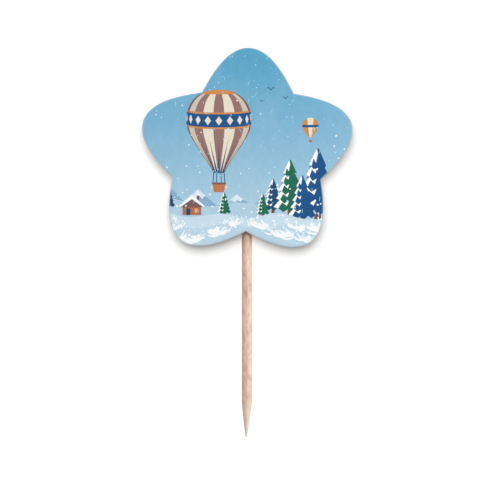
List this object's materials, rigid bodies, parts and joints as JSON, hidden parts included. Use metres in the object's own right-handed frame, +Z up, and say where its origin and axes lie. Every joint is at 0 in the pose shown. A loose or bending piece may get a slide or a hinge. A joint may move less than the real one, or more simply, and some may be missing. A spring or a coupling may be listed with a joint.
{
  "type": "cupcake pick",
  "caption": "Flat die-cut card star with rounded lobes, printed on its front and held on a round pointed wooden toothpick by a glue bead and a paper patch.",
  "frame": {"origin": "on the toothpick's axis, level with the end of its lower point", "axes": "+Z up the toothpick, the printed face looks along -Y, and +X is to the right as the printed face is seen"},
  "size_m": [0.0404, 0.0026, 0.0749],
  "materials": {
    "printed_card": "coated card, satin, printed in sky blue with a winter scene, with a white cut edge and back",
    "birch_wood": "bare pale birch, fine straight grain, unvarnished",
    "hot_melt_glue": "milky translucent hot-melt glue",
    "plain_paper": "plain white self-adhesive paper, uncoated"
  },
  "bodies": {
    "root": {"printed_card": "printed_card", "toothpick": "birch_wood", "glue_bead": "hot_melt_glue", "backing_patch": "plain_paper"}
  },
  "joints": []
}
